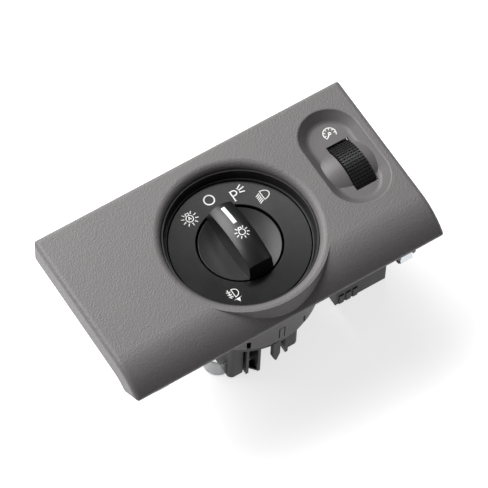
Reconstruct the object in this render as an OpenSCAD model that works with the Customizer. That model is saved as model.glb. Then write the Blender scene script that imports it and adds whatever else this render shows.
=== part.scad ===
// Headlight switch panel of a vehicle dashboard: a grained trim bezel that carries a rotary light
// switch with a pull-out knob, and a thumbwheel dimmer for the instrument lighting.
// The panel lies on its back: +Z is out of its face, +X runs to the dimmer's end and +Y to the edge
// that is uppermost in the dashboard. The origin is on the knob's axis, in the plane of the bezel's
// rear rim. All sizes are in millimetres.

/* [Bezel] */
// Length of the bezel along X
panel_w = 165; // [160:1:180]
// Knob axis to the upper edge
panel_top = 46; // [44.5:0.5:60]
// Knob axis down to the line where the face starts to roll over
roll_start = 25; // [20:0.5:28]
// Radius of the rolled lower face
roll_r = 26; // [24:0.5:30]
// Angle through which the face rolls
roll_angle = 52; // [46:1:56]
// Depth of the return flange behind the face
flange_d = 12.5; // [11:0.5:14]
// Wall of the moulding
wall = 2.5; // [2:0.1:3]
// Rounding of the long and short edges
edge_r = 2.6; // [1.5:0.1:3.5]
// Rounding of the four corners, seen from the front
corner_r = 3.2; // [2:0.2:6]

/* [Bowl] */
// Radius of the bore that the switch sits in
bowl_r = 36.2; // [36:0.1:37]
// Rounding of the bowl's lip
lip_r = 3.6; // [3:0.1:4.5]
// Wall of the skirt behind the bowl
skirt_t = 2; // [1.6:0.1:3]

/* [Dial] */
// Depth of the dial plate below the face
dial_drop = 9; // [8:0.25:10]
// Width of the front ring between the bowl's bore and the dial plate
ring_w = 3.2; // [3:0.1:4]
// Gap between the knob's disc and the hole in the dial plate
knob_gap = 0.8; // [0.5:0.1:1.2]
// Thickness of the dial plate
dial_t = 1.2; // [1:0.1:1.4]

/* [Knob] */
// Radius of the knob's disc
knob_r = 19.3; // [17:0.1:19.6]
// Height of the grip's crown above the panel's face
crown_h = 3; // [1:0.25:6]
// Half width of the grip at its shoulders
grip_half = 6; // [5:0.1:6.5]
// Half width of the grip at its foot
grip_foot = 7; // [6.6:0.1:7.5]
// Radius of the crown's long curve
crown_r = 50; // [42:1:80]
// Hollow of the disc beside the grip
disc_dish = 1.3; // [0.8:0.1:2]
// Angle between two switch positions
detent_step = 30; // [24:1:30]

/* [Switch] */
// Depth of the switch body behind the rear rim
body_d = 30.4; // [30:0.2:34]
// Plane that the finished switch rests on, behind the rear rim
rest_d = 58.4; // [56:0.2:64]
// Radius of the plain part of the knob's spindle
spindle_r = 6; // [5:0.1:6.4]
// Radial clearance of a running fit
run_fit = 0.08; // [0.05:0.01:0.1]
// Gap between parts that must not touch
gap = 0.3; // [0.2:0.05:0.4]

/* [Dimmer] */
// Middle of the thumbwheel along X
wheel_x = 64.9; // [64.4:0.1:65.5]
// Middle of the thumbwheel along Y
wheel_y = 6.2; // [4:0.2:8]
// Radius of the thumbwheel over its knurl
wheel_r = 18.7; // [18:0.1:19.5]
// Width of the thumbwheel
wheel_w = 10.7; // [9:0.1:10.8]
// How far the thumbwheel's top lies below the face
wheel_sunk = 0.5; // [0:0.1:1.5]
// Teeth of the knurl round the wheel
knurl_n = 72; // [36:1:80]
// Rows of the knurl across the wheel
knurl_rows = 7; // [3:1:8]
// Middle of the scoop along X
scoop_x = 62.4; // [62:0.1:62.6]
// Half width of the scoop at its rim
scoop_half = 15.1; // [14.5:0.1:15.1]
// Lower end of the scoop along Y
scoop_lo = -17.4; // [-18:0.2:-15]
// Upper end of the scoop along Y
scoop_hi = 36.5; // [35:0.5:38]
// Depth of the scoop
scoop_d = 4.5; // [4:0.25:5]
// How far the wheel stands out of the barrel-shaped hump that flanks it
hump_step = 0.55; // [0.3:0.05:1]
// Crown radius of the hump, across the wheel
hump_r = 50; // [40:1:80]

/* [Hidden] */
$fn = 96;

face_z = flange_d;
dial_z = face_z - dial_drop;
dial_r = bowl_r - ring_w;
dial_hole_r = knob_r + knob_gap;
// The knob's disc: top, lower edge of its skirt, and underside of the disc above that edge
knob_top = dial_z - 0.7;
knob_low = knob_top - 9;
knob_under = knob_low + 2.2;
small = 0.02;

// Points of an arc from angle a0 to a1, in n steps
function arc(r, a0, a1, n, c = [0, 0]) =
    [for (i = [0 : n]) let (a = a0 + (a1 - a0) * i / n) [c[0] + r * cos(a), c[1] + r * sin(a)]];

// Where a point on the rolled face lies, at a depth below the skin and an angle round the roll
function on_roll(depth, a) =
    [-roll_start - (roll_r - depth) * sin(a), face_z - roll_r + (roll_r - depth) * cos(a)];

// A corner cutter: leaves a rounded edge of radius r on the corner at the origin of +X and +Y
module edge_cut(r, length) {
    steps = 7;
    reach = 1;
    pts = arc(r, 90, 0, steps, [-r, -r]);
    first = pts[0] - (pts[1] - pts[0]) * reach;
    last = pts[steps] + (pts[steps] - pts[steps - 1]) * reach;
    inner = [for (i = [1 : steps - 1]) pts[i]];
    linear_extrude(length, center = true)
        polygon(concat([first], inner, [last], [[r, last[1]], [r, r], [first[0], r]]));
}

/* Bezel */

// Cross-section of the moulding, skin at y = 0 and rim at y = -flange_d, corners rounded
module skin_section() {
    half = panel_w / 2;
    polygon(concat(
        arc(edge_r, 0, 90, 7, [half - edge_r, -edge_r]),
        arc(edge_r, 90, 180, 7, [edge_r - half, -edge_r]),
        [[-half, -flange_d], [half, -flange_d]]));
}

module cavity_section() {
    half = panel_w / 2 - wall;
    polygon([[half, -wall], [-half, -wall], [-half, -flange_d - 1], [half, -flange_d - 1]]);
}

// Sweeps a section from the upper end down the flat face and round the roll
module panel_sweep(y_from, angle) {
    translate([0, y_from, face_z])
        rotate([90, 0, 0]) linear_extrude(y_from + roll_start) children();
    translate([0, -roll_start, face_z - roll_r])
        rotate([0, 90, 0]) rotate([0, 0, 180])
            rotate_extrude(angle = angle, $fn = 144) translate([roll_r, 0]) rotate(-90) children();
}

// Puts a child at the lower end of the skin, with +Y along the skin and +Z out of it
module at_roll_end() {
    end = on_roll(0, roll_angle);
    translate([0, end[0], end[1]]) rotate([roll_angle, 0, 0]) children();
}

module skin_outer() {
    half = panel_w / 2;
    difference() {
        panel_sweep(panel_top, roll_angle) skin_section();
        translate([0, panel_top, face_z]) rotate([90, 0, 90]) edge_cut(edge_r, panel_w + 2);
        at_roll_end() rotate([90, 0, -90]) edge_cut(edge_r, panel_w + 2);
        for (s = [-1, 1]) {
            translate([s * half, panel_top, flange_d / 2])
                mirror([s < 0 ? 1 : 0, 0, 0]) edge_cut(corner_r, flange_d + 4);
            at_roll_end() translate([s * half, 0, -flange_d / 2])
                mirror([s < 0 ? 1 : 0, 0, 0]) mirror([0, 1, 0]) edge_cut(corner_r, flange_d + 4);
        }
    }
}

// The scoop round the thumbwheel has a flat floor and walls at 45 degrees, with a soft foot and rim
scoop_rim_r = 1.2;
scoop_foot_r = 3;
moulding_t = 2;

// Half profile of the scoop, or of the moulding under it where grow is the thickness
function scoop_half_profile(grow) =
    let (lean = tan(22.5), floor_half = scoop_half - scoop_d)
    grow > 0 ? [
        [0, -scoop_d - grow], [floor_half + grow * lean, -scoop_d - grow],
        [scoop_half + grow * sqrt(2) - wall / 2, -wall / 2], [0, -wall / 2]] :
    concat(
        [[0, -scoop_d]],
        arc(scoop_foot_r, -90, -45, 4, [floor_half - scoop_foot_r * lean, scoop_foot_r - scoop_d]),
        arc(scoop_rim_r, 135, 96, 3, [scoop_half + scoop_rim_r * lean, -scoop_rim_r]),
        [[scoop_half + scoop_rim_r + 3, 0.36], [scoop_half + scoop_rim_r + 3, 1.2], [0, 1.2]]);

module scoop_shape(grow) {
    lo = scoop_lo + scoop_half;
    hi = scoop_hi - scoop_half;
    pts = scoop_half_profile(grow);
    translate([scoop_x, hi, face_z]) rotate_extrude(angle = 180) polygon(pts);
    translate([scoop_x, lo, face_z]) rotate([0, 0, 180]) rotate_extrude(angle = 180) polygon(pts);
    translate([scoop_x, hi, face_z]) rotate([90, 0, 0]) linear_extrude(hi - lo) {
        polygon(pts);
        mirror([1, 0]) polygon(pts);
    }
}

// The hump is a barrel round the wheel's axle that fills the scoop from wall to wall
slot_side = 0.5;
slot_end = 1;
hump_crest = wheel_r - hump_step;
hump_x = [scoop_x - scoop_half + 2.7, scoop_x + scoop_half - 1.7];

// Radius of the hump's barrel at a distance from the wheel's middle
function hump_radius(x) = hump_crest - hump_r + sqrt(hump_r * hump_r - (x - wheel_x) * (x - wheel_x));

module hump(depth, x, low) {
    steps = 12;
    crown = [for (i = [0 : steps]) let (p = x[0] + (x[1] - x[0]) * i / steps)
        [hump_radius(p) - depth, p - wheel_x]];
    intersection() {
        translate([wheel_x, wheel_y, wheel_z]) rotate([0, 90, 0]) rotate_extrude()
            polygon(concat([[0, x[0] - wheel_x]], crown, [[0, x[1] - wheel_x]]));
        translate([x[0] - 1, wheel_y - wheel_r, low]) cube([x[1] - x[0] + 2, 2 * wheel_r, face_z - low]);
    }
}

// The slot follows the wheel all round
module wheel_clearance() {
    translate([wheel_x, wheel_y, wheel_z]) rotate([0, 90, 0])
        cylinder(r = wheel_r + slot_end, h = wheel_w + 2 * slot_side, center = true);
}

// Light for the gauge sign comes up behind a thin spot in the scoop's floor
gauge_y = scoop_hi - 11.3;
guide_pipe_r = 2.4;
gauge_z = face_z - scoop_d - 1.1;
guide_in = gauge_y - guide_pipe_r - wheel_y;
lamp_size = [1.6, 2.4, 2.4];

// Clip tabs: two behind the upper edge, two rooted in the return of the rolled edge; each has its top
return_at = [on_roll(10.8, roll_angle), on_roll(8, roll_angle)];
return_low = on_roll(flange_d, roll_angle)[1];
tower_y = panel_top - 12;
tower_top = face_z - wall + 0.5;
tower_at = [[-70, tower_y, tower_top], [70, tower_y, tower_top],
            [-66, return_at[0][0], return_at[0][1] + 2], [64, return_at[1][0], return_at[1][1] + 2]];
tower_w = 9.4;
tower_t = 2.4;
tower_d = 9.4;
// The clips' shoulders clear the lower end of the return
clip_top = min(-4, return_low - 0.2);

// Screw bosses for the dimmer stand behind the scoop
boss_at = [[wheel_x - 17, wheel_y - 16], [wheel_x - 5, wheel_y + 30]];
boss_r = 3.2;
boss_z = 0.8;
boss_hole = 7;
screw_r = 1.25;
screw_clear = 0.3;
ear_t = 2.4;

// Latch tongues of the skirt: cut free at their upper end, rooted at the skirt's edge
flange_t = 1.8;
skirt_d = body_d - flange_t - 0.2;
latch_a = [-91, 29, 149];
latch_w = 2.3;
latch_h = 11.4;
latch_root = 2.6;
latch_slit = 0.55;
nose = 1.1;
nose_h = 2.2;
notch_at = [[-115.2, 2], [-70.3, 1.3], [90, 2]];
notch_h = 6.5;

module skirt() {
    reach = 3 * skirt_t;
    difference() {
        translate([0, 0, -skirt_d]) cylinder(r = bowl_r + skirt_t, h = skirt_d + face_z - wall / 2);
        translate([0, 0, -skirt_d - 1]) cylinder(r = bowl_r, h = skirt_d + face_z + 2);
        for (a = latch_a) rotate(a) translate([bowl_r + skirt_t / 2 - reach / 2, 0, -skirt_d]) {
            for (s = [-1, 1]) translate([0, s * (latch_w + latch_slit) / 2 - latch_slit / 2, latch_root])
                cube([reach, latch_slit, latch_h - latch_root]);
            translate([0, -latch_w / 2 - latch_slit, latch_h - latch_slit])
                cube([reach, latch_w + 2 * latch_slit, latch_slit]);
        }
        // Windows at the edge, through which the switch is keyed
        for (n = notch_at) rotate(n[0])
            translate([bowl_r + skirt_t / 2 - reach / 2, -n[1] / 2, -skirt_d - 1])
                cube([reach, n[1], notch_h + 1]);
    }
    // Noses on the free ends, which snap under the pads of the switch
    for (a = latch_a) rotate(a)
        translate([bowl_r + 0.2, latch_w / 2, latch_h - latch_slit - nose_h - skirt_d])
            rotate([90, 0, 0]) linear_extrude(latch_w)
                polygon([[0.1, 0], [-0.2, 0], [-nose, nose_h - 0.8], [-nose, nose_h], [0.1, nose_h]]);
}

// Stiffening ribs behind the face: across the panel, and along it up to the skirt
module ribs() {
    rib_t = 1.4;
    rib_d = 9;
    rib_z = face_z - wall - rib_d + 0.5;
    bowl_wall = bowl_r + skirt_t / 2;
    rib_low = -18;
    root = 0.5;
    for (x = [-74, -60, bowl_r + lip_r + 4.7]) translate([x, rib_low, rib_z])
        cube([rib_t, panel_top - rib_low - wall + root, rib_d]);
    for (y = [-14, 24]) translate([-panel_w / 2 + wall - root, y, rib_z])
        cube([panel_w / 2 - wall + root - sqrt(bowl_wall * bowl_wall - y * y), rib_t, rib_d]);
}

module clip_towers() {
    cheek_t = 1.4;
    cheek_w = 1.6;
    for (p = tower_at) translate([p[0], p[1], 0]) {
        translate([-tower_w / 2 + cheek_t, -tower_t / 2, -tower_d])
            cube([tower_w - 2 * cheek_t, tower_t, tower_d + p[2]]);
        for (x = [-tower_w / 2, tower_w / 2 - cheek_t])
            translate([x, -tower_t / 2 - cheek_w, clip_top])
                cube([cheek_t, tower_t + 2 * cheek_w, p[2] - clip_top]);
        translate([-tower_w / 2, -tower_t / 2, clip_top]) cube([tower_w, tower_t, p[2] - clip_top]);
    }
}

module bowl_bore() {
    rim_r = bowl_r + lip_r;
    rotate_extrude() polygon(concat(
        [[0, -skirt_d - 1], [bowl_r, -skirt_d - 1]],
        arc(lip_r, 180, 96, 7, [rim_r, face_z - lip_r]),
        [[rim_r + 2, face_z + 0.35], [rim_r + 2, face_z + 6], [0, face_z + 6]]));
}

module bezel() {
    collar_low = 10;
    color("#6c6968") difference() {
        union() {
            difference() {
                union() {
                    difference() {
                        skin_outer();
                        panel_sweep(panel_top - wall, roll_angle - wall / roll_r * 180 / PI)
                            cavity_section();
                    }
                    // Collar that carries the bowl's lip over the roll
                    intersection() {
                        translate([0, 0, face_z - collar_low])
                            cylinder(r1 = bowl_r + lip_r + 4, r2 = bowl_r + lip_r + 1.2, h = collar_low);
                        translate([-60, on_roll(0, roll_angle)[0] + 1, -6]) cube([120, 100, 30]);
                    }
                    skirt();
                    scoop_shape(moulding_t);
                    ribs();
                    clip_towers();
                    for (p = boss_at) translate([p[0], p[1], boss_z])
                        cylinder(r = boss_r, h = face_z - wall - boss_z + 0.5);
                }
                bowl_bore();
                scoop_shape(0);
            }
            hump(0, hump_x, face_z - scoop_d - moulding_t / 2);
        }
        hump(moulding_t, [hump_x[0] + 2.4, hump_x[1] - 2.8], 0);
        wheel_clearance();
        for (p = boss_at) translate([p[0], p[1], boss_z - 1]) cylinder(r = screw_r, h = boss_hole + 1);
        translate([wheel_x, gauge_y, -2]) cylinder(r = guide_pipe_r + 0.2, h = gauge_z + 2);
    }
}

/* Spring clips */

clip_t = 0.6;
clip_w = tower_w - 3;
clip_d = 12;

// Half profile of a clip: out and down from the tab's shoulder, then in to the nose
clip_leg = [[tower_t / 2 + 0.05, clip_top - 0.1], [3.1, clip_top - 3], [2.7, 2.8 - clip_d],
            [1.1, 0.4 - clip_d], [0, -clip_d]];

function clip_inner(i) =
    let (p = clip_leg[i]) [max(p[0] - clip_t * 1.15, 0), p[1] + (i > 2 ? clip_t : 0)];

module clip_half() {
    n = len(clip_leg) - 1;
    start = clip_leg[0];
    polygon(concat([start, start + [clip_t, 0]], [for (i = [1 : n]) clip_leg[i]],
        [for (i = [n : -1 : 1]) clip_inner(i)], [start - [0, 1.2]]));
}

module spring_clips() {
    color("#c9ccd0") for (p = tower_at) translate([p[0], p[1], 0])
        rotate([90, 0, 90]) linear_extrude(clip_w, center = true) {
            clip_half();
            mirror([1, 0]) clip_half();
        }
}

/* Front ring: lines the bowl and frames the dial */

collar_r = bowl_r - gap;
collar_t = 0.8;
collar_z = face_z - lip_r - 0.3;
dial_lip = 0.8;
seat_w = 0.35;
tab_a = [0, 120, 240];
tab_w = 5;
tab_t = 1.4;

module ring_tabs(clear) {
    for (a = tab_a) rotate(a)
        translate([collar_r - tab_t - clear, -tab_w / 2 - clear, front_z - front_t])
            cube([tab_t + 2 * clear, tab_w + 2 * clear, front_t + small]);
}

module front_ring() {
    lip_in = dial_r + seat_w;
    lip_out = lip_in + dial_lip;
    well = dial_z - 0.6;
    soft = 0.2;
    color("#1c1c1e") {
        rotate_extrude() polygon([
            [lip_in, front_z], [collar_r, front_z], [collar_r, collar_z], [collar_r - collar_t, collar_z],
            [collar_r - collar_t - 0.35, well], [lip_out, well], [lip_out, dial_z + 0.3 - soft],
            [lip_out - soft, dial_z + 0.3], [lip_in + soft, dial_z + 0.3], [lip_in, dial_z + 0.3 - soft]]);
        intersection() {
            ring_tabs(0);
            translate([0, 0, -body_d]) cylinder(r = collar_r, h = 2 * body_d);
        }
    }
}

/* Switch housing */

body_r = bowl_r - 1.2;
body_t = 2;
front_z = dial_z - dial_t - 2.2;
front_t = 1.5;
board_t = 1.6;
board_z = -body_d + 5.2;
board_r = body_r - body_t - gap;
rotor_t = 3.6;
rotor_z = board_z + board_t + 2.2;
rotor_r = body_r - body_t - 11;
hub_r = spindle_r + 3.6;
web_t = 1.6;
web_z = rotor_z + rotor_t + 0.4;
spindle_flange = 1.5;
carrier_wall = 5;
carrier_r = spindle_r + carrier_wall;
carrier_z = web_z + web_t + gap + spindle_flange;
guide_r = carrier_r + run_fit;
guide_out = carrier_r + 2.5;
guide_top = knob_under - gap;
key_w = 3.8;
key_out = 2.1;
plunger_r = 1.7;
plunger_a = [100, 260];
plunger_z = rotor_z + rotor_t / 2;
plunger_l = 3.2;
plunger_bore = 9.3;
post_a = [70, 190, 310];
post_w = 6;
post_r = body_r - body_t - 1.4;
lever_x = [-4.9, -1.1];
lever_y = [-bowl_r - 2, -bowl_r + 0.4];
lever_h = 17;
lamp_r = 2.2;
lamp_x = (dial_hole_r + 1.6 + dial_r - 1) / 2;

module switch_housing() {
    color("#232325") {
        difference() {
            union() {
                translate([0, 0, front_z - front_t]) cylinder(r = collar_r, h = front_t);
                translate([0, 0, -body_d]) cylinder(r = body_r, h = body_d + front_z - front_t / 2);
                // Flange that closes the bezel's skirt
                translate([0, 0, -body_d]) cylinder(r = bowl_r + 1.3, h = flange_t);
                release_lever();
                // Pads that rest on the noses of the bezel's latches
                for (a = latch_a) rotate(a)
                    translate([body_r - 1, -latch_w / 2 - 1, -skirt_d + latch_h - latch_slit + 0.2])
                        cube([collar_r - body_r + 0.9, latch_w + 2, 2.4]);
            }
            translate([0, 0, -body_d - 1]) cylinder(r = body_r - body_t, h = body_d + front_z - front_t + 1);
            translate([0, 0, front_z - front_t - 1]) cylinder(r = dial_hole_r + 1.6, h = front_t + 2);
            ring_tabs(0.1);
            for (s = [-1, 1]) translate([s * lamp_x, 0, front_z - front_t - 1])
                cylinder(r = lamp_r + 0.4, h = front_t + 2);
        }
        // Web with the bearing of the rotor and the guide of the pull carrier
        difference() {
            union() {
                translate([0, 0, web_z]) cylinder(r = body_r - body_t + small, h = web_t);
                translate([0, 0, web_z]) cylinder(r = guide_out, h = guide_top - web_z);
                for (a = plunger_a) rotate(a) translate([rotor_r + 1.2, -3.2, plunger_z - 3])
                    cube([plunger_bore, 6.4, web_z - plunger_z + 3.2]);
            }
            translate([0, 0, web_z - 1]) cylinder(r = hub_r + run_fit, h = 30);
            translate([0, 0, carrier_z - spindle_flange - gap]) cylinder(r = guide_r, h = 30);
            for (s = [0, 180]) rotate(s)
                translate([guide_r - 1, -key_w / 2 - gap, carrier_z - spindle_flange - gap])
                    cube([key_out + 1.4, key_w + 2 * gap, 30]);
            for (a = plunger_a) rotate(a) translate([rotor_r, 0, plunger_z])
                rotate([0, 90, 0]) cylinder(r = plunger_r + run_fit, h = plunger_bore);
            for (a = [0, 40, 140, 180, 220, 320]) rotate(a)
                translate([lamp_x, 0, web_z - 1]) cylinder(r = lamp_r + 1, h = web_t + 2);
        }
        // Posts that hold the contact board and take the screws
        for (a = post_a) rotate(a) difference() {
            translate([body_r - body_t - 3.4, -post_w / 2, board_z + board_t])
                cube([3.6, post_w, web_z - board_z - board_t + small]);
            translate([post_r, 0, board_z]) cylinder(r = screw_r, h = 5);
        }
    }
}

// Blade that is pressed from below to free the lower latch
module release_lever() {
    w = lever_x[1] - lever_x[0];
    translate([lever_x[0], lever_y[1], -body_d + flange_t]) rotate([90, 0, 0])
        linear_extrude(lever_y[1] - lever_y[0])
            polygon([[0, 0], [0, 3.6 - lever_h], [1.3, 0.3 - lever_h], [2.1, -lever_h],
                [w - 0.6, 3.4 - lever_h], [w, 5 - lever_h], [w, 0]]);
}

module switch_screws() {
    color("#9ea2a6") for (a = post_a) rotate(a) translate([post_r, 0, plug_z])
        pan_screw(board_z + 4 - plug_z);
}

// A pan-head screw standing on its head, the shank cut to the core of its thread
module pan_screw(length) {
    head_r = 2.6;
    head_h = 1.6;
    recess = [3, 0.5, 0.9];
    difference() {
        union() {
            translate([0, 0, -head_h]) cylinder(r = head_r, h = head_h);
            cylinder(r = screw_r - 0.03, h = length);
        }
        translate([0, 0, -head_h - 0.1]) for (a = [0, 90]) rotate(a)
            translate([-recess[0] / 2, -recess[1] / 2, 0]) cube(recess);
    }
}

/* Dial plate */

// Thickness of the hem that hangs from the edge of the plate's hole
hem = 1.2;

module dial_plate() {
    rim = 0.3;
    color("#2b2b2e") rotate_extrude() polygon([
        [dial_hole_r, front_z - 0.9], [dial_hole_r + hem, front_z - 0.9],
        [dial_hole_r + hem, dial_z - dial_t],
        [dial_r, dial_z - dial_t], [dial_r, dial_z - rim], [dial_r - rim, dial_z],
        [dial_hole_r + rim, dial_z], [dial_hole_r, dial_z - rim]]);
}

module dial_light_guide() {
    color("#dfe7ea") difference() {
        translate([0, 0, front_z]) cylinder(r = dial_r - 1, h = dial_z - dial_t - front_z);
        translate([0, 0, front_z - 1]) cylinder(r = dial_hole_r + hem + gap, h = 10);
        for (a = [0 : 60 : 300]) rotate(a) translate([dial_r - 1, 0, front_z - 1])
            cylinder(r = 1.5, h = 10);
    }
}

/* Knob */

knob_wall = 1.6;
spindle_head_r = 4;
spindle_head_h = 8.2;
crown_z = face_z + crown_h;
crown_sag = 1.7;
pointer_half = 0.95;
square_half = spindle_r * 0.57;
pointer_y = [4.6, 15.4];

module grip_section() {
    r = (grip_half * grip_half + crown_sag * crown_sag) / (2 * crown_sag);
    spread = asin(grip_half / r);
    depth = crown_z - knob_top + 6;
    polygon(concat(
        [for (i = [-6 : 6]) let (a = spread * i / 6) [r * sin(a), r * cos(a) - r]],
        [[grip_foot, -depth], [-grip_foot, -depth]]));
}

// The bar of the grip, its crown curved both ways
module grip() {
    intersection() {
        translate([0, -1, crown_z - crown_r]) rotate([0, 90, 0]) rotate([0, 0, 150])
            rotate_extrude(angle = 60, $fn = 144) translate([crown_r, 0]) rotate(-90) grip_section();
        rotate_extrude() polygon([
            [0, knob_top - 2], [knob_r + 0.4, knob_top - 2], [knob_r + 0.4, knob_top + 1],
            [knob_r, knob_top + 3.5], [knob_r - 0.9, knob_top + 7.2], [knob_r - 1.9, crown_z - 2.2],
            [knob_r - 2.7, crown_z + 1], [0, crown_z + 1]]);
    }
}

module pointer_slot(clear) {
    translate([-pointer_half - clear, pointer_y[0] - clear, knob_top])
        cube([2 * (pointer_half + clear), pointer_y[1] - pointer_y[0] + 2 * clear, crown_z]);
}

module knob() {
    edge = 0.25;
    boss = 8;
    inner = knob_r - knob_wall;
    color("#1e1e20") difference() {
        union() {
            rotate_extrude() polygon(concat(
                [[0, knob_low], [boss, knob_low], [boss, knob_under], [inner, knob_under],
                 [inner, knob_low], [knob_r, knob_low], [knob_r, knob_top - edge]],
                [for (i = [0 : 8]) let (t = i / 8)
                    [knob_r - edge - 10 * t, knob_top - disc_dish * sin(90 * t)]],
                [[0, knob_top - disc_dish]]));
            grip();
        }
        pointer_slot(0);
        translate([0, 0, knob_low - 1]) cylinder(r = spindle_head_r, h = spindle_head_h + 1);
    }
}

module pointer_light_guide() {
    color("#f4f4f2") intersection() {
        difference() {
            grip();
            translate([0, 0, -small]) cylinder(r = 30, h = knob_top + small);
        }
        pointer_slot(0);
    }
}

module knob_spindle() {
    tail = board_z - 1.2;
    color("#8f9296") {
        translate([0, 0, knob_low]) cylinder(r = spindle_head_r, h = spindle_head_h);
        translate([0, 0, carrier_z]) cylinder(r = spindle_r, h = knob_low - carrier_z);
        translate([0, 0, carrier_z - spindle_flange]) cylinder(r = spindle_r + 2, h = spindle_flange);
        translate([-square_half, -square_half, tail])
            cube([2 * square_half, 2 * square_half, carrier_z - spindle_flange - tail]);
    }
}

/* Pull carrier: slides with the knob but does not turn */

module pull_carrier() {
    color("#ddd6c4") difference() {
        union() {
            translate([0, 0, carrier_z + small])
                cylinder(r = carrier_r, h = knob_low - 0.1 - carrier_z - small);
            for (s = [0, 180]) rotate(s) translate([carrier_r - 1, -key_w / 2, carrier_z + 0.6])
                cube([key_out + 1, key_w, knob_low - carrier_z - 1.2]);
        }
        translate([0, 0, carrier_z - 1]) cylinder(r = spindle_r + run_fit, h = 20);
    }
}

/* Detent rotor: turns with the spindle, which slides through it */

module detent_rotor() {
    key = square_half + gap;
    notch_r = 2;
    hole_r = (rotor_r - hub_r) * 0.21;
    color("#ece8dc") difference() {
        union() {
            translate([0, 0, rotor_z]) cylinder(r = rotor_r, h = rotor_t);
            translate([0, 0, rotor_z]) cylinder(r = hub_r, h = carrier_z - spindle_flange - gap - rotor_z);
        }
        translate([0, 0, rotor_z + rotor_t / 2]) cube([2 * key, 2 * key, 30], center = true);
        for (base = plunger_a, k = [-2 : 1]) rotate(base - k * detent_step)
            translate([rotor_r + 0.9, 0, rotor_z - 1]) cylinder(r = notch_r, h = 10);
        for (a = [0 : 60 : 300]) rotate(a + 15)
            translate([(rotor_r + hub_r) / 2, 0, rotor_z - 1]) cylinder(r = hole_r, h = 10);
    }
}

module rotor_contacts() {
    low = board_z + board_t + 0.05;
    strip = 0.4;
    strip_l = 8;
    start = hub_r + 1.9;
    color("#c8874a") for (a = [45, 165, 285]) rotate(a) {
        translate([start, -1.5, rotor_z - strip]) cube([strip_l, 3, strip]);
        for (i = [0 : 2]) translate([start + i * (strip_l - 1) / 2, -1.2, low])
            cube([1, 2.4, rotor_z - strip - low]);
    }
}

module detent_plungers() {
    start = rotor_r + run_fit + plunger_r;
    color("#b9bcc0") for (a = plunger_a) rotate(a) translate([start, 0, plunger_z]) {
        rotate([0, 90, 0]) cylinder(r = plunger_r, h = plunger_l);
        sphere(plunger_r);
    }
}

module detent_springs() {
    start = rotor_r + run_fit + plunger_r + plunger_l;
    stop = rotor_r + plunger_bore - 0.1;
    coil_r = 1.1;
    wire_r = 0.25;
    turns = 4;
    pitch = (stop - start - 2 * wire_r) / turns;
    color("#a7abb0") for (a = plunger_a) rotate(a)
        translate([start + wire_r, 0, plunger_z]) rotate([0, 90, 0]) {
        for (i = [0 : turns]) translate([0, 0, i * pitch])
            rotate_extrude($fn = 32) translate([coil_r, 0]) circle(wire_r, $fn = 16);
        for (i = [0 : turns - 1]) rotate(i * 180) translate([coil_r, 0, i * pitch])
            cylinder(r = wire_r * 0.8, h = pitch, $fn = 16);
    }
}

/* Contact board and its lamps */

module contact_board() {
    color("#7a5a2c") difference() {
        translate([0, 0, board_z]) cylinder(r = board_r, h = board_t);
        translate([0, 0, board_z - 1]) cylinder(r = square_half * sqrt(2) + 0.8, h = 4);
        for (a = post_a) rotate(a) translate([post_r, 0, board_z - 1])
            cylinder(r = screw_r + screw_clear, h = 4);
        for (s = [-1, 1]) translate([s * lamp_x, 0, board_z - 1]) cylinder(r = lamp_r + 0.1, h = 4);
    }
}

module board_lamps() {
    bulb_r = 1.8;
    cap_h = 7;
    cap_z = board_z - 1.2;
    top = front_z - front_t - 3;
    color("#e9e4d2") for (s = [-1, 1]) translate([s * lamp_x, 0, 0]) {
        translate([0, 0, cap_z]) cylinder(r = lamp_r, h = cap_h);
        translate([0, 0, cap_z + cap_h]) cylinder(r = bulb_r, h = top - cap_z - cap_h);
        translate([0, 0, top]) sphere(bulb_r, $fn = 48);
    }
}

/* Rear cover of the switch with the connector */

cover_t = 2.5;
cover_r = bowl_r + 0.6;
plug_x = [-21, 15];
plug_y = [-16, 12];
plug_wall = 1.8;
plug_z = -body_d - cover_t;
block_y = 6.2 - bowl_r;
left_block_x = [-23, -8.3];
right_block_x = [3.8, 15];
block_round = 2.6;
pin_rows = [-7.4, 6.6];
pin_step = 5;

// A plate with rounded corners, standing on z
module round_box(x, y, z, r) {
    linear_extrude(z[1] - z[0]) polygon(concat(
        arc(r, 0, 90, 6, [x[1] - r, y[1] - r]), arc(r, 90, 180, 6, [x[0] + r, y[1] - r]),
        arc(r, 180, 270, 6, [x[0] + r, y[0] + r]), arc(r, 270, 360, 6, [x[1] - r, y[0] + r])));
}

module switch_rear_cover() {
    tall = rest_d + plug_z;
    color("#29282b") difference() {
        union() {
            translate([0, 0, plug_z]) cylinder(r = cover_r, h = cover_t);
            translate([0, 0, plug_z]) cylinder(r = board_r, h = board_z - plug_z);
            translate([0, 0, -rest_d]) {
                round_box(plug_x, plug_y, [0, tall], 2);
                front_block(left_block_x, [-15.9, -9.7], tall);
                front_block(right_block_x, [5, 6.6], tall);
            }
            block_ribs(tall);
        }
        translate([0, 0, -body_d]) cylinder(r = board_r - 1.6, h = 10);
        for (a = post_a) rotate(a) translate([post_r, 0, plug_z - 1])
            cylinder(r = screw_r + screw_clear, h = 12);
        terminal_pins();
        wiring_socket(tall);
        // Way for the release lever
        translate([lever_x[0] - gap, lever_y[0] - 4, plug_z - 1])
            cube([lever_x[1] - lever_x[0] + 2 * gap, lever_y[1] - lever_y[0] + 4 + gap, cover_t + 2]);
    }
}

// Block in front of the plug housing, with an open channel down its front face
module front_block(x, channel, tall) {
    depth = 4;
    difference() {
        round_box(x, [block_y, plug_y[0] + 3], [0, tall], block_round);
        translate([channel[0], block_y - 1, -1]) cube([channel[1] - channel[0], depth + 1, tall + 1]);
    }
}

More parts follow.
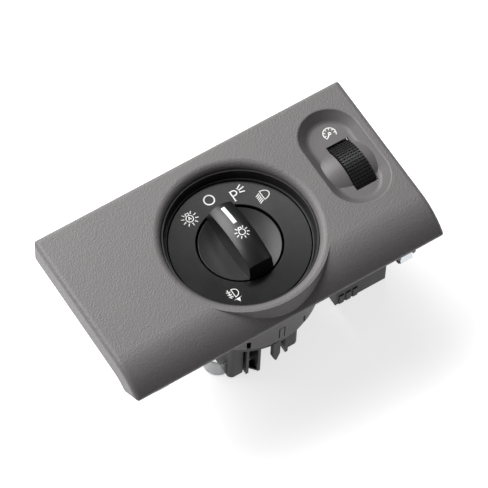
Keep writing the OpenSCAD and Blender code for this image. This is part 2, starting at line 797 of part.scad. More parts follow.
// Ribs that stand out of the blocks; the middle one is braced by a gusset at its foot
module block_ribs(tall) {
    rib_t = 1.4;
    depth = 4.2;
    for (rib = [[-15.1, 1.7], [-9.7, 3.2], [6.6, 1.5]])
        translate([rib[0], block_y - rib[1], -rest_d]) cube([rib_t, rib[1] + depth, tall]);
    translate([-9.7 + small, block_y - 2.8, -rest_d]) linear_extrude(1.2)
        polygon([[0, 0], [0, 6], [-3, 6], [-3, 3.4]]);
}

// Socket for the wiring plug, with a polarising rib and a latch window in its upper wall
module wiring_socket(tall) {
    inner_x = [plug_x[0] + plug_wall, plug_x[1] - plug_wall];
    inner_y = [plug_y[0] + plug_wall, plug_y[1] - plug_wall];
    rib = [2, 1.4];
    difference() {
        translate([inner_x[0], inner_y[0], -rest_d - 1])
            cube([inner_x[1] - inner_x[0], inner_y[1] - inner_y[0], tall + 1]);
        translate([-4, inner_y[1] - rib[1], -rest_d - 2]) cube([rib[0], rib[1] + 1, tall + 2]);
    }
    translate([4, inner_y[1] - 1, -rest_d + 4]) cube([8, plug_wall + 2, 4]);
}

module terminal_pins() {
    wide = 2.2;
    thin = 0.8;
    mouth = 6;
    for (i = [0 : 5], y = pin_rows) translate([plug_x[0] + 4.4 + i * pin_step, y, 0]) {
        translate([0, 0, -rest_d + mouth]) cube([wide, thin, rest_d - mouth - body_d]);
        translate([0.6, 0, -body_d - small]) cube([1, thin, board_z + body_d + small]);
    }
}

module switch_terminals() {
    color("#b8913f") terminal_pins();
}

// Clear clasp that is pushed in from the left to lock the terminals
module terminal_lock() {
    clasp_r = 7;
    clasp_t = 1.2;
    clasp_h = 10.6;
    bar = clasp_r - clasp_t / 2;
    color("#e6e8e6") translate([left_block_x[0], -19.6, 0.4 - rest_d]) {
        rotate(90) rotate_extrude(angle = 180) translate([clasp_r - clasp_t, 0])
            square([clasp_t, clasp_h]);
        translate([-bar, -1.5, clasp_h - 2]) cube([bar, 3, 2]);
    }
}

/* Dimmer */

wheel_z = face_z - wheel_sunk - wheel_r;
// The light guide ends above the wheel's rim
gauge_foot = wheel_z + sqrt(max(0, pow(wheel_r + gap, 2) - pow(guide_in, 2)));
axle_r = 2;
axle_out = 0.4;
cell_t = 1.6;
cell_x = [wheel_x - wheel_w / 2 - 4.8, wheel_x + wheel_w / 2 + 2.2];
cell_y = [wheel_y - wheel_r - 2.2, gauge_y + guide_pipe_r + 2];
cell_z = [wheel_z - wheel_r - 2.4, 1];
board_w = 1.2;
board_x = cell_x[0] + cell_t + 0.1;
base_x = [bowl_r + skirt_t + 1.7, 68];
base_y = [-22.9, 16];
base_z = 14.4 - rest_d;
pocket_x = [base_x[0] + 5, board_x + 1.5];
pocket_y = [base_y[0] + 3.5, base_y[0] + 29.5];
pin_x = (pocket_x[0] + pocket_x[1]) / 2 - 0.4;
pin_y = base_y[0] + 7.9;
pin_pitch = 5;
board_foot = [base_y[0] + cell_t + 4, base_y[0] + cell_t + 28];
wheel_recess = wheel_r / 2;
wheel_hollow = 2.5;
wheel_hub_r = 5;

module knurled_ring(r, h) {
    land = 360 / knurl_n;
    low = r - 0.55;
    tooth = [[0, low], [0.12, r], [0.62, r], [0.74, low]];
    linear_extrude(h) polygon([for (i = [0 : knurl_n - 1], p = tooth)
        let (a = land * (i + p[0])) [p[1] * cos(a), p[1] * sin(a)]]);
}

module dimmer_wheel() {
    groove = 0.5;
    row = (wheel_w - groove * (knurl_rows - 1)) / knurl_rows;
    color("#17171a") translate([wheel_x, wheel_y, wheel_z]) rotate([0, 90, 0]) difference() {
        union() {
            translate([0, 0, -wheel_w / 2]) cylinder(r = wheel_r - 0.6, h = wheel_w);
            for (i = [0 : knurl_rows - 1]) translate([0, 0, -wheel_w / 2 + i * (row + groove)])
                knurled_ring(wheel_r, row);
        }
        translate([0, 0, -wheel_w]) cylinder(r = axle_r + run_fit, h = 2 * wheel_w);
        for (s = [-1, 1]) translate([0, 0, s * (wheel_w / 2)]) difference() {
            cylinder(r = wheel_recess, h = 2 * wheel_hollow, center = true);
            cylinder(r = wheel_hub_r, h = 2 * wheel_hollow + 1, center = true);
        }
    }
}

module dimmer_axle() {
    color("#a9adb2") translate([cell_x[0] - axle_out, wheel_y, wheel_z]) rotate([0, 90, 0])
        cylinder(r = axle_r, h = cell_x[1] - cell_x[0] + 2 * axle_out);
}

module dimmer_housing() {
    color("#2a2a2c") difference() {
        union() {
            translate([cell_x[0], cell_y[0], cell_z[0]])
                cube([cell_x[1] - cell_x[0], cell_y[1] - cell_y[0], cell_z[1] - cell_z[0]]);
            translate([base_x[0], base_y[0], base_z])
                cube([base_x[1] - base_x[0], base_y[1] - base_y[0], cell_z[0] - base_z + cell_t]);
            // Ears that the screws pass through
            for (p = boss_at) translate([p[0], p[1], boss_z - ear_t])
                cylinder(r = boss_r + 1, h = ear_t - small);
            translate([boss_at[0][0], boss_at[0][1] - 3, boss_z - ear_t])
                cube([cell_x[0] - boss_at[0][0] + 1, 9, ear_t - small]);
            translate([boss_at[1][0] - boss_r - 1, cell_y[1] - 1, boss_z - ear_t])
                cube([2 * boss_r + 2, boss_at[1][1] - cell_y[1] + 1, ear_t - small]);
        }
        translate([cell_x[0] + cell_t, cell_y[0] + cell_t, cell_z[0] + cell_t])
            cube([cell_x[1] - cell_x[0] - 2 * cell_t, cell_y[1] - cell_y[0] - 2 * cell_t, 60]);
        translate([base_x[0] + cell_t, base_y[0] + cell_t, base_z - 1])
            cube([base_x[1] - base_x[0] - 2 * cell_t, base_y[1] - base_y[0] - 2 * cell_t,
                cell_z[0] - base_z + 1]);
        translate([cell_x[0] - 1, wheel_y, wheel_z]) rotate([0, 90, 0])
            cylinder(r = axle_r, h = cell_x[1] - cell_x[0] + 2);
        for (p = boss_at) translate([p[0], p[1], boss_z - 4]) cylinder(r = screw_r + screw_clear, h = 10);
        // Slot that the board passes through
        translate([board_x - 0.1, board_foot[0], cell_z[0] - 1])
            cube([board_w + 0.2, board_foot[1] - board_foot[0], cell_t + 2]);
    }
}

module dimmer_board() {
    top = gauge_foot + lamp_size[2] + 0.3;
    edge = cell_t + gap;
    color("#2f6b43") difference() {
        union() {
            translate([board_x, cell_y[0] + edge, cell_z[0] + cell_t])
                cube([board_w, cell_y[1] - cell_y[0] - 2 * edge, top - cell_z[0] - cell_t]);
            translate([board_x, board_foot[0] + 0.2, base_z + 1])
                cube([board_w, board_foot[1] - board_foot[0] - 0.4, cell_z[0] + cell_t - base_z]);
        }
        translate([board_x - 1, wheel_y, wheel_z]) rotate([0, 90, 0]) cylinder(r = axle_r + 0.6, h = 4);
    }
}

// Wiper pressed into the wheel's left side, its leaves sprung against the board's track
module dimmer_wiper() {
    foot = wheel_x - wheel_w / 2 + wheel_hollow;
    tip = board_x + board_w + 0.05;
    leaf = 0.35;
    color("#c8874a") translate([0, wheel_y, wheel_z]) {
        translate([foot - leaf, 0, 0]) rotate([0, 90, 0]) difference() {
            cylinder(r = wheel_recess - 0.5, h = leaf);
            translate([0, 0, -1]) cylinder(r = wheel_hub_r + 0.5, h = leaf + 2);
        }
        for (z = [1.7, 3.1]) translate([0, 0, z - wheel_recess]) linear_extrude(1) polygon([
            [foot - leaf, 3], [foot - leaf, 3 - leaf], [tip + leaf, -3.4], [tip, -3], [tip, -2.4],
            [tip + leaf, -2.2]]);
    }
}

// Pipe up to the sign, with an arm that takes in the light of the lamp on the board
module gauge_light_guide() {
    start = board_x + board_w + lamp_size[0] + gap;
    arm = lamp_size[1] + 0.4;
    color("#e8eef0") {
        translate([wheel_x, gauge_y, gauge_foot])
            cylinder(r = guide_pipe_r, h = gauge_z - 0.1 - gauge_foot);
        translate([start, gauge_y - arm / 2, gauge_foot]) cube([wheel_x - start, arm, lamp_size[2]]);
    }
}

module dimmer_lamp() {
    lens_r = 1;
    corner = [board_x + board_w, gauge_y - lamp_size[1] / 2, gauge_foot];
    color("#e9e4d2") translate(corner) difference() {
        cube(lamp_size);
        translate([lamp_size[0], lamp_size[1] / 2, lamp_size[2] / 2]) sphere(lens_r);
    }
}

module dimmer_pins() {
    wide = 2.2;
    thin = 0.8;
    mouth = 5;
    for (i = [0 : 3]) translate([pin_x, pin_y + i * pin_pitch, 0]) {
        translate([0, 0, -rest_d + mouth]) cube([thin, wide, rest_d - mouth + base_z + 4]);
        translate([0, 0.6, base_z + 3.2]) cube([board_x - pin_x, 1, thin]);
    }
}

module dimmer_rear_cover() {
    floor_t = 2;
    tall = rest_d + base_z;
    color("#252527") difference() {
        union() {
            translate([base_x[0], base_y[0], -rest_d])
                cube([base_x[1] - base_x[0], base_y[1] - base_y[0], tall]);
            // Bars on the front of the socket's mouth
            for (i = [0 : 2]) translate([base_x[0] + 2 + i * 3.8, base_y[0] - 0.5, -rest_d])
                cube([2.6, 1, 7]);
        }
        translate([pocket_x[0], pocket_y[0], -rest_d - 1])
            cube([pocket_x[1] - pocket_x[0], pocket_y[1] - pocket_y[0], tall - floor_t + 1]);
        translate([pocket_x[1] + 3, base_y[0] + 2, -rest_d - 1])
            cube([base_x[1] - pocket_x[1] - 5, base_y[1] - base_y[0] - 4, tall - floor_t + 1]);
        dimmer_pins();
    }
}

module dimmer_terminals() {
    color("#b8913f") dimmer_pins();
}

module dimmer_screws() {
    color("#9ea2a6") for (p = boss_at) translate([p[0], p[1], boss_z - ear_t])
        pan_screw(ear_t + boss_hole - 1.4);
}

bezel();
spring_clips();
front_ring();
switch_housing();
switch_screws();
dial_plate();
dial_light_guide();
knob();
pointer_light_guide();
knob_spindle();
pull_carrier();
detent_rotor();
rotor_contacts();
detent_plungers();
detent_springs();
contact_board();
board_lamps();
switch_rear_cover();
switch_terminals();
terminal_lock();
dimmer_housing();
dimmer_wheel();
dimmer_axle();
dimmer_board();
dimmer_wiper();
gauge_light_guide();
dimmer_lamp();
dimmer_rear_cover();
dimmer_terminals();
dimmer_screws();
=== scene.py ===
# %% [markdown]
# A vehicle's headlight switch, dressed for a picture. The panel is a grained plastic bezel that
# holds a rotary switch and a thumbwheel. Its form, its sizes and its joints come from the packed
# model, so this file adds what a moulder, a printer and a plater add on the real one: grain, soft
# sheen, white print, zinc plating and worn edges. Everything is in metres, and millimetres are
# written with the factor MM, because a maker's drawing is read in millimetres.

from math import cos, hypot, pi, radians, sin

import bpy
from mathutils import Matrix, Vector
from mathutils.bvhtree import BVHTree


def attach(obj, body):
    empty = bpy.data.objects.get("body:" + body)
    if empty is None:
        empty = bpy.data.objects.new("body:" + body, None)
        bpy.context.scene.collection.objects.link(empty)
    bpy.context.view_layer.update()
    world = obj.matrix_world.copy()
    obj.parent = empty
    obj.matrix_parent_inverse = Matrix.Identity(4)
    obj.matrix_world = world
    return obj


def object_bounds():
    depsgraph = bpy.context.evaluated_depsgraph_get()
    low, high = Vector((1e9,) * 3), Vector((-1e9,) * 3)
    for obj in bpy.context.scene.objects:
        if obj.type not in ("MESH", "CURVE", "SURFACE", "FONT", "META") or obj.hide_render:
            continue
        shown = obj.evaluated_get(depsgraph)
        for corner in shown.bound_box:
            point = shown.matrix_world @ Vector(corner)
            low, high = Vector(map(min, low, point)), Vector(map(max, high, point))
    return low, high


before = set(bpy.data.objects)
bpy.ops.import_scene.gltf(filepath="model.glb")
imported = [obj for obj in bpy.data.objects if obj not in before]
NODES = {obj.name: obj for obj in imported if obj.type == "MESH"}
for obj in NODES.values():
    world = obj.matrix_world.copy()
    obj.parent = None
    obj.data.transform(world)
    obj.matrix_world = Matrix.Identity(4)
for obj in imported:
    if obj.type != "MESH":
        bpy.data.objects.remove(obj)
cad_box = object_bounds()
MM = 0.001

# %% [markdown]
# The camera could be placed by eye, but a round dial in a picture tells a lot: how flat its ellipse
# is gives the height of the eye, and how far edges converge gives the distance. The photograph was
# taken with a long lens from almost two metres, 60 degrees above the panel and a third of a right
# angle to its left. Those few angles are kept here and the camera's matrix is worked out from them.

# %% Camera at the photograph's viewpoint
CAM_AZIMUTH, CAM_ELEVATION, CAM_ROLL = radians(34.818), radians(60.407), radians(2.828)
CAM_TARGET = Vector((-1.673, -5.648, 12.5)) * MM
CAM_DISTANCE = 1844.2 * MM
PICTURE = 488
FOCAL_PIXELS = 4077.95

flat = cos(CAM_ELEVATION)
look = Vector((sin(CAM_AZIMUTH) * flat, cos(CAM_AZIMUTH) * flat, -sin(CAM_ELEVATION)))
level = look.cross(Vector((0, 0, 1))).normalized()
upright = level.cross(look)
right = level * cos(CAM_ROLL) + upright * sin(CAM_ROLL)
turn = Matrix((right, right.cross(look), -look)).transposed().to_4x4()

camera = bpy.data.objects.new("camera", bpy.data.cameras.new("camera"))
bpy.context.scene.collection.objects.link(camera)
camera.matrix_world = Matrix.Translation(CAM_TARGET - look * CAM_DISTANCE) @ turn
camera.data.sensor_width = 36
camera.data.lens = FOCAL_PIXELS / PICTURE * camera.data.sensor_width
camera.data.clip_end = 20
bpy.context.scene.camera = camera
bpy.context.scene.view_settings.view_transform = "Standard"
print("camera at", [round(v, 4) for v in camera.location], "lens", round(camera.data.lens, 1))

# %% [markdown]
# A shader tree is easier to read as arithmetic than as a wall of boxes. This class wraps a socket,
# so that 1 - mask or 0.2 * noise adds the Math node that does it. Everything that isn't arithmetic
# on numbers goes through one method, which takes the kind of node, its settings and its inputs.

# %% Arithmetic on sockets
class Wire:
    """A socket of a shader tree. Sums, differences and products of wires add Math nodes."""

    def __init__(self, tree, socket=None):
        self.tree, self.socket = tree, socket

    def node(self, kind, settings=(), values=(), out=0):
        """Adds a node of that kind: its settings first, then the values or wires of its sockets."""
        made = self.tree.nodes.new("ShaderNode" + kind)
        for name, value in dict(settings).items():
            setattr(made, name, value)
        for name, value in dict(values).items():
            self.plug(value, made.inputs[name])
        return Wire(self.tree, made.outputs[out])

    def plug(self, value, slot):
        if isinstance(value, Wire):
            self.tree.links.new(value.socket, slot)
        elif slot.type == "RGBA" and len(value) == 3:
            slot.default_value = (*value, 1)
        else:
            slot.default_value = value

    def maths(self, operation, *values, clamp=False):
        return self.node("Math", {"operation": operation, "use_clamp": clamp}, dict(enumerate(values)))

    def __add__(self, other):
        return self.maths("ADD", self, other)

    def __radd__(self, other):
        return self.maths("ADD", other, self)

    def __sub__(self, other):
        return self.maths("SUBTRACT", self, other)

    def __rsub__(self, other):
        return self.maths("SUBTRACT", other, self)

    def __mul__(self, other):
        return self.maths("MULTIPLY", self, other)

    def __rmul__(self, other):
        return self.maths("MULTIPLY", other, self)

    def ramp(self, low, high):
        """0 below low, 1 above high, and a straight line between them."""
        return self.maths("MULTIPLY_ADD", self, 1 / (high - low), -low / (high - low), clamp=True)

    def blend(self, low, high):
        """A colour between two others, where this wire is the factor."""
        return self.node("Mix", {"data_type": "RGBA"}, {0: self, 6: low, 7: high}, out=2)

    def grey(self):
        """This number as a grey colour."""
        return self.node("CombineColor", (), {0: self, 1: self, 2: self})


def new_material(name):
    made = bpy.data.materials.new(name)
    made.use_nodes = True
    return made, made.node_tree.nodes["Principled BSDF"], Wire(made.node_tree)


print("socket arithmetic is ready")

# %% [markdown]
# The floor of a product photograph is a white sweep. Lighting it until it turns white would wash the
# object out, so the floor is an ordinary pale surface that takes the shadow, and what the camera
# and the glossy plastics see of it is topped up to white by a little light of its own.

# %% White floor that keeps the shadow
FLOOR_SIZE = 8
FLOOR_COLOUR = (0.84, 0.84, 0.845)
FLOOR_TOP_UP = 0.70

floor_mesh = bpy.data.meshes.new("floor")
half = FLOOR_SIZE / 2
corners = [(-half, -half, 0), (half, -half, 0), (half, half, 0), (-half, half, 0)]
floor_mesh.from_pydata(corners, [], [(0, 1, 2, 3)])
floor = bpy.data.objects.new("floor", floor_mesh)
floor.location.z = cad_box[0][2]
bpy.context.scene.collection.objects.link(floor)

paper, shader, wire = new_material("paper")
shader.inputs["Base Color"].default_value = (*FLOOR_COLOUR, 1)
shader.inputs["Roughness"].default_value = 1
shader.inputs["Specular IOR Level"].default_value = 0
rays = ("Is Camera Ray", "Is Glossy Ray", "Is Transmission Ray")
camera_ray, glossy_ray, clear_ray = [wire.node("LightPath", out=name) for name in rays]
seen = wire.maths("MAXIMUM", camera_ray, wire.maths("MAXIMUM", glossy_ray, clear_ray))
glow = wire.node("Emission", (), {"Color": (1, 1, 1), "Strength": seen * FLOOR_TOP_UP})
both = wire.node("AddShader", (), {0: Wire(paper.node_tree, shader.outputs[0]), 1: glow})
wire.plug(both, paper.node_tree.nodes["Material Output"].inputs["Surface"])
floor_mesh.materials.append(paper)
print("floor at z =", round(floor.location.z, 4))

# %% [markdown]
# A softbox hangs close behind the panel, a little to the left: it lights the flat face, fades towards
# the right, and leaves the rolled edge, which looks the other way, in shade. A small one stands where
# the right of the black dial mirrors it. A dim even sky fills the hollows.

# %% Lamps
SKY_STRENGTH = 0.11
# Name, the point it aims at, direction, distance, size in metres, and brightness
LAMPS = [
    ("key_softbox", (0, 0, 0), (-0.34, 0.64, 0.70), 0.7, (0.80, 0.55), 7.4),
    ("dial_softbox", (0.06, 0.05, 0.01), (0.282, 0.405, 0.870), 0.4, (0.12, 0.12), 4.4),
    ("right_softbox", (0, 0, 0), (0.75, -0.25, 0.6), 1.4, (0.7, 0.7), 0.7)]

for name, aim, towards, distance, size, radiance in LAMPS:
    lamp = bpy.data.lights.new(name, "AREA")
    lamp.shape, lamp.size, lamp.size_y = "RECTANGLE", size[0], size[1]
    # At radiance 1 the lamp itself would look like white paper
    lamp.energy = radiance * pi * size[0] * size[1]
    box = bpy.data.objects.new(name, lamp)
    bpy.context.scene.collection.objects.link(box)
    way = Vector(towards).normalized()
    box.location = Vector(aim) + way * distance
    box.rotation_euler = way.to_track_quat("Z", "Y").to_euler()
sky = bpy.data.worlds.new("sky")
sky.use_nodes = True
sky.node_tree.nodes["Background"].inputs["Color"].default_value = (1, 1, 1, 1)
sky.node_tree.nodes["Background"].inputs["Strength"].default_value = SKY_STRENGTH
bpy.context.scene.world = sky

# %% [markdown]
# Dashboard mouldings are grained: the steel mould is etched with a fine leather pattern, which
# hides scratches and takes the shine off. A noise field would look like sand, so the grain is made
# of small cells with soft valleys between them, and a second, larger field lets the gloss wander.
# The Bevel node rounds the light on sharp edges, as a mould's edges are never quite sharp.

# %% Grained and matt plastics
def grained_plastic(name, colour, cell, depth, roughness, specular=0.5, bevel=0.25 * MM, polish_and_shade=None):
    """Moulded plastic whose grain has cells of that size and depth, in metres.

    polish_and_shade is a function that makes a mask, 1 where the mould was polished instead of etched;
    there the grain flattens and the gloss sharpens, and the colour is darkened as painted shade.
    """
    made, shader, wire = new_material(name)
    where = wire.node("TexCoord", out="Object")
    cells = wire.node("TexVoronoi", {"feature": "SMOOTH_F1"},
                      {"Vector": where, "Scale": 1 / cell, "Smoothness": 0.6})
    fine = wire.node("TexNoise", (), {"Vector": where, "Scale": 3.1 / cell, "Detail": 3.0})
    cloud = wire.node("TexNoise", (), {"Vector": where, "Scale": 0.03 / cell, "Detail": 2.0})
    relief = cells * 0.8 + fine * 0.2
    shade = (0.94 + 0.12 * cloud) * (0.90 + 0.20 * fine)
    rough = roughness - 0.05 + 0.10 * cloud
    if polish_and_shade:
        mask = polish_and_shade(wire)
        relief = relief * (1 - 0.75 * mask)
        # Painted shade: the colour inside the scoop is darkened by a fifth
        shade = shade * (1 - 0.20 * mask)
        rough = rough - 0.04 * mask
    edge = wire.node("Bevel", {"samples": 4}, {"Radius": bevel})
    bump = wire.node("Bump", (), {"Height": relief, "Distance": depth, "Normal": edge})
    wire.plug(bump, shader.inputs["Normal"])
    tint = wire.node("Mix", {"data_type": "RGBA", "blend_type": "MULTIPLY"},
                     {0: 1.0, 6: colour, 7: shade.grey()}, out=2)
    wire.plug(tint, shader.inputs["Base Color"])
    wire.plug(rough, shader.inputs["Roughness"])
    shader.inputs["Specular IOR Level"].default_value = specular
    return made


SCOOP_X = 62.4 * MM
SCOOP_Y = (-2.3 * MM, 21.4 * MM)
SCOOP_HALF = 15.1 * MM
FACE_Z = 12.5 * MM


def scoop_polish_and_shade_mask(wire):
    """1 inside the scoop round the thumbwheel, which is smoother than the face; the scoop's colour is
    also darkened there as painted shade.
    """
    where = wire.node("TexCoord", out="Object")
    x, y, z = [wire.node("SeparateXYZ", (), {0: where}, out=i) for i in range(3)]
    along = y - wire.node("Clamp", (), {"Value": y, "Min": SCOOP_Y[0], "Max": SCOOP_Y[1]})
    across = x - SCOOP_X
    reach = wire.maths("SQRT", across * across + along * along)
    inside = 1 - reach.ramp(SCOOP_HALF - 0.5 * MM, SCOOP_HALF)
    return inside * (1 - z.ramp(FACE_Z - 0.6 * MM, FACE_Z - 0.1 * MM))


BEZEL_COLOUR = (0.150, 0.142, 0.143)
bezel_grain_and_shade = grained_plastic("bezel_grain_and_shade", BEZEL_COLOUR, 0.75 * MM, 0.18 * MM,
                              0.45, 0.4, 0.3 * MM, scoop_polish_and_shade_mask)
black_matt = grained_plastic("black_matt", (0.016, 0.0155, 0.016), 0.3 * MM, 0.012 * MM, 0.48)
dial_paint = grained_plastic("dial_paint", (0.006, 0.006, 0.0065), 0.22 * MM, 0.004 * MM, 0.22, 0.30)
knob_paint = grained_plastic("knob_paint", (0.006, 0.006, 0.0065), 0.45 * MM, 0.008 * MM, 0.36)
wheel_rubber = grained_plastic("wheel_rubber", (0.010, 0.010, 0.0105), 0.3 * MM, 0.01 * MM, 0.38,
                               bevel=0.1 * MM)
natural_plastic = grained_plastic("natural_plastic", (0.62, 0.58, 0.48), 0.4 * MM, 0.004 * MM, 0.38)
board_brown = grained_plastic("board_brown", (0.20, 0.11, 0.045), 0.5 * MM, 0.004 * MM, 0.45)
board_green = grained_plastic("board_green", (0.02, 0.11, 0.04), 0.5 * MM, 0.004 * MM, 0.32)
sign_paint = grained_plastic("sign_paint", (0.86, 0.86, 0.85), 0.15 * MM, 0.002 * MM, 0.5)
print("plastics are ready")

# %% [markdown]
# The clips are stamped from zinc-plated strip, the pins from tinned brass, and axles are turned. All
# keep faint streaks along one way from the rolls or the lathe, so one function stretches a noise
# field into streaks and lets it move both the colour and the gloss.

# %% Metals and clear plastics
def plated_metal(name, colour, roughness):
    """Rolled or turned metal: faint streaks in the gloss along one way."""
    made, shader, wire = new_material(name)
    where = wire.node("TexCoord", out="Object")
    long = wire.node("Mapping", (), {"Vector": where, "Scale": (300, 300, 3000)})
    streak = wire.node("TexNoise", (), {"Vector": long, "Scale": 1.0, "Detail": 4.0})
    edge = wire.node("Bevel", {"samples": 4}, {"Radius": 0.1 * MM})
    bump = wire.node("Bump", (), {"Height": streak, "Distance": 0.004 * MM, "Normal": edge})
    wire.plug(bump, shader.inputs["Normal"])
    dark = tuple(0.8 * c for c in colour)
    wire.plug(streak.blend(dark, colour), shader.inputs["Base Color"])
    wire.plug(roughness - 0.08 + 0.16 * streak, shader.inputs["Roughness"])
    shader.inputs["Metallic"].default_value = 1
    return made


def clear_plastic(name, colour, roughness, cover):
    """Plastic that lets light through; cover is how much of what lies behind it hides."""
    made, shader, wire = new_material(name)
    where = wire.node("TexCoord", out="Object")
    haze = wire.node("TexNoise", (), {"Vector": where, "Scale": 400.0, "Detail": 2.0})
    wire.plug(haze.blend(tuple(0.92 * c for c in colour), colour), shader.inputs["Base Color"])
    wire.plug(roughness + 0.1 * haze, shader.inputs["Roughness"])
    shader.inputs["Alpha"].default_value = cover
    return made


zinc = plated_metal("zinc", (0.66, 0.69, 0.72), 0.30)
turned_steel = plated_metal("turned_steel", (0.50, 0.50, 0.51), 0.28)
tinned_brass = plated_metal("tinned_brass", (0.70, 0.54, 0.26), 0.30)
spring_copper = plated_metal("spring_copper", (0.72, 0.42, 0.24), 0.28)
frosted = clear_plastic("frosted", (0.80, 0.83, 0.84), 0.35, 0.55)
opal_white = clear_plastic("opal_white", (0.86, 0.87, 0.86), 0.30, 1.0)
lamp_glass = clear_plastic("lamp_glass", (0.88, 0.85, 0.74), 0.15, 0.8)
print("metals and clear plastics are ready")

# %% [markdown]
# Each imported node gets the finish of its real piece. The table reads from finish to nodes, since one
# moulding machine or plating bath serves many pieces.

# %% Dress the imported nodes
FINISHES = {
    bezel_grain_and_shade: ["bezel"],
    black_matt: ["front_ring", "switch_housing", "switch_rear_cover",
                 "dimmer_housing", "dimmer_rear_cover"],
    dial_paint: ["dial_plate"],
    knob_paint: ["knob"],
    wheel_rubber: ["dimmer_wheel"],
    natural_plastic: ["pull_carrier", "detent_rotor"],
    board_brown: ["contact_board"],
    board_green: ["dimmer_board"],
    zinc: ["spring_clips", "switch_screws", "dimmer_screws"],
    turned_steel: ["knob_spindle", "dimmer_axle", "detent_plungers", "detent_springs"],
    tinned_brass: ["switch_terminals", "dimmer_terminals"],
    spring_copper: ["rotor_contacts", "dimmer_wiper"],
    frosted: ["dial_light_guide", "gauge_light_guide", "terminal_lock"],
    opal_white: ["pointer_light_guide"],
    lamp_glass: ["board_lamps", "dimmer_lamp"],
}
for finish, names in FINISHES.items():
    for name in names:
        slots = NODES[name].data.materials
        slots.clear()
        slots.append(finish)
undressed = sorted(set(NODES) - {name for names in FINISHES.values() for name in names})
print("dressed", len(NODES) - len(undressed), "nodes, undressed:", undressed)

# %% [markdown]
# The signs are printed in white, and light shines through them at night. Each is drawn here as a few
# strokes of a pen in millimetres, then laid as a film of paint on the surface below it: every point
# drops straight down until it meets the dial, the knob's crown or the scoop's floor. That way the
# print follows a curved crown by itself, and no picture file is needed.

# %% Strokes of paint laid on a surface
PAINT = 0.03 * MM
BITE = 0.01 * MM
PEN_STEP = 0.35
DROP_FROM = 0.05
surfaces = {}


def surface_below(node, x, y):
    """Height of a node's upper surface, in metres, at a place given in millimetres."""
    if node not in surfaces:
        mesh = NODES[node].data
        corners = [vertex.co for vertex in mesh.vertices]
        surfaces[node] = BVHTree.FromPolygons(corners, [face.vertices for face in mesh.polygons])
    hit = surfaces[node].ray_cast(Vector((x * MM, y * MM, DROP_FROM)), Vector((0, 0, -1)))
    return hit[0].z


def arc(centre, radius, start, stop, steps=24):
    """Points of an arc between two angles in degrees. radius may be a pair, for an ellipse."""
    wide, tall = radius if isinstance(radius, tuple) else (radius, radius)
    angles = [radians(start + (stop - start) * i / steps) for i in range(steps + 1)]
    return [(centre[0] + wide * cos(a), centre[1] + tall * sin(a)) for a in angles]


def fill_in(points, widths):
    """Adds points to a stroke, so that none of its pieces is longer than the pen's step."""
    places, pens = [points[0]], [widths[0]]
    for (a, b), (u, v) in zip(zip(points, points[1:]), zip(widths, widths[1:])):
        count = max(1, round(hypot(b[0] - a[0], b[1] - a[1]) / PEN_STEP))
        for i in range(1, count + 1):
            t = i / count
            places.append((a[0] + (b[0] - a[0]) * t, a[1] + (b[1] - a[1]) * t))
            pens.append(u + (v - u) * t)
    return places, pens


def stroke_edges(points, pens):
    """The left and right edge of a stroke, mitred where it turns."""
    closed = hypot(points[0][0] - points[-1][0], points[0][1] - points[-1][1]) < 1e-6
    edges = []
    last = len(points) - 1
    for i, ((x, y), pen) in enumerate(zip(points, pens)):
        before = points[i - 1] if i else points[last - 1] if closed else points[0]
        after = points[i + 1] if i < last else points[1] if closed else points[last]
        into, away = Vector((x - before[0], y - before[1])), Vector((after[0] - x, after[1] - y))
        into, away = (into or away).normalized(), (away or into).normalized()
        along = (into + away).normalized()
        reach = pen / 2 / max(0.5, along.dot(into))
        side = Vector((-along.y, along.x)) * reach
        edges.append(((x + side.x, y + side.y), (x - side.x, y - side.y)))
    return edges


def print_sign(name, node, body, strokes, pen=0.5):
    """Lays strokes on a node. A stroke is a list of points, or points with the pen's width at each."""
    verts, faces = [], []
    for stroke in strokes:
        points, widths = stroke if isinstance(stroke, tuple) else (stroke, [pen] * len(stroke))
        edges = stroke_edges(*fill_in(points, widths))
        first = len(verts)
        for pair in edges:
            for x, y in pair:
                z = surface_below(node, x, y)
                verts += [(x * MM, y * MM, z + PAINT), (x * MM, y * MM, z - BITE)]
        for i in range(len(edges) - 1):
            a = first + 4 * i
            b = a + 4
            faces += [(a, a + 2, b + 2, b), (a + 1, b + 1, b + 3, a + 3)]
            faces += [(a, b, b + 1, a + 1), (a + 2, a + 3, b + 3, b + 2)]
        end = first + 4 * (len(edges) - 1)
        faces += [(first, first + 1, first + 3, first + 2), (end, end + 2, end + 3, end + 1)]
    mesh = bpy.data.meshes.new(name)
    mesh.from_pydata(verts, [], faces)
    mesh.materials.append(sign_paint)
    made = bpy.data.objects.new(name, mesh)
    bpy.context.scene.collection.objects.link(made)
    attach(made, body)
    print(name, "has", len(strokes), "strokes and", len(faces), "faces")
    return made


# %% [markdown]
# The dial carries the common signs of a light switch, each where the pointer comes to stand:
# automatic, off, parking lamps and headlamps, and below them the fog lamps with the small triangle
# that says pull. A lamp with rays is used twice, so it is a function of its centre and size.

# %% Signs of the dial and the knob
def lamp_sign(x, y, size):
    """A bulb with its base upwards and nine rays."""
    base = [(x - 0.42 * size, y + 0.98 * size), (x - 0.42 * size, y + 1.72 * size),
            (x + 0.42 * size, y + 1.72 * size), (x + 0.42 * size, y + 0.98 * size)]
    rays = [[(x + r * size * cos(radians(90 + 36 * i)), y + r * size * sin(radians(90 + 36 * i)))
             for r in (1.5, 2.35)] for i in range(1, 10)]
    return [arc((x, y), size, 0, 360, 30), base, *rays]


AUTO = (-12.75, 22.7)
letter = [[(-13.45, 22.05), (-12.75, 23.6), (-12.05, 22.05)], [(-13.15, 22.6), (-12.35, 22.6)]]
print_sign("sign_automatic", "dial_plate", "panel", lamp_sign(*AUTO, 1.75) + letter, 0.44)
print_sign("sign_off", "dial_plate", "panel", [arc((0, 26.4), 2.45, 0, 360, 36)], 0.65)

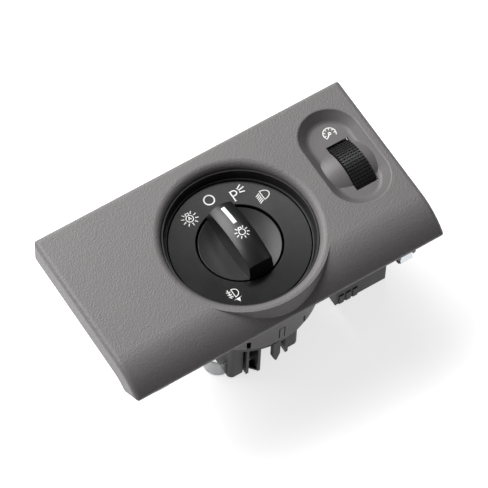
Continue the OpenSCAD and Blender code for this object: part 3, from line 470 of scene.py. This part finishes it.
parking = [[(10.2, 19.5), (10.2, 24.9), *arc((11.6, 23.6), 1.3, 90, -90, 12), (10.2, 22.3)],
           [(13.9, 24.7), (16.4, 26.1)], [(14.2, 23.8), (17.3, 24.3)], [(14.1, 22.7), (16.6, 22.0)]]
print_sign("sign_parking", "dial_plate", "panel", parking, 0.6)

BEAMS = 5
low_beam = [[(22.0, 13.5), *arc((22.0, 15.85), (3.6, 2.35), -90, 90, 20), (22.0, 13.5)]]
low_beam += [[(21.3, 17.4 - 0.95 * i), (19.1, 16.5 - 0.98 * i)] for i in range(BEAMS)]
print_sign("sign_headlamps", "dial_plate", "panel", low_beam, 0.42)

fog = [[(-16.6, -22.7), *arc((-16.6, -20.6), (2.5, 2.1), -90, 90, 20), (-16.6, -22.7)]]
fog += [[(-17.4, -19.3 - 1.35 * i), (-19.4, -18.8 - 1.35 * i)] for i in range(3)]
fog += [[(-18.5 + 0.30 * sin(1.3 * i), -18.0 - 0.30 * i) for i in range(16)]]
fog += [([(-16.0, -23.7), (-15.9, -25.7)], [2.2, 0.1])]
print_sign("sign_fog_lamps", "dial_plate", "panel", fog, 0.4)
print_sign("sign_knob", "knob", "knob", lamp_sign(0.05, -1.2, 1.5), 0.44)

# %% [markdown]
# The sign beside the thumbwheel is a dial gauge: a ring that is open at its foot, a needle on a hub,
# and ticks that stand inwards from the ring and taper to a point.

# %% Sign of the instrument lighting
GAUGE = (64.7, 25.2)
GAUGE_R = 3.1
NEEDLE = 219


def gauge_point(radius, angle):
    return (GAUGE[0] + radius * cos(radians(angle)), GAUGE[1] + radius * sin(radians(angle)))


gauge = [arc(GAUGE, GAUGE_R, NEEDLE, -39, 40), arc(GAUGE, 0.55, 0, 360, 16)]
gauge += [[gauge_point(0.7, NEEDLE), gauge_point(GAUGE_R, NEEDLE)]]
gauge += [([gauge_point(GAUGE_R - 0.1, a), gauge_point(GAUGE_R - 1.2, a)], [0.8, 0.25])
          for a in range(-10, 200, 40)]
print_sign("sign_instruments", "bezel", "panel", gauge, 0.5)

# %% [markdown]
# The dressed model's box differs from the imported one's only by the film of paint on the knob's
# crown,
# the highest place of all: less than a fiftieth of a millimetre.

# %% Finish
print("scene is dressed")
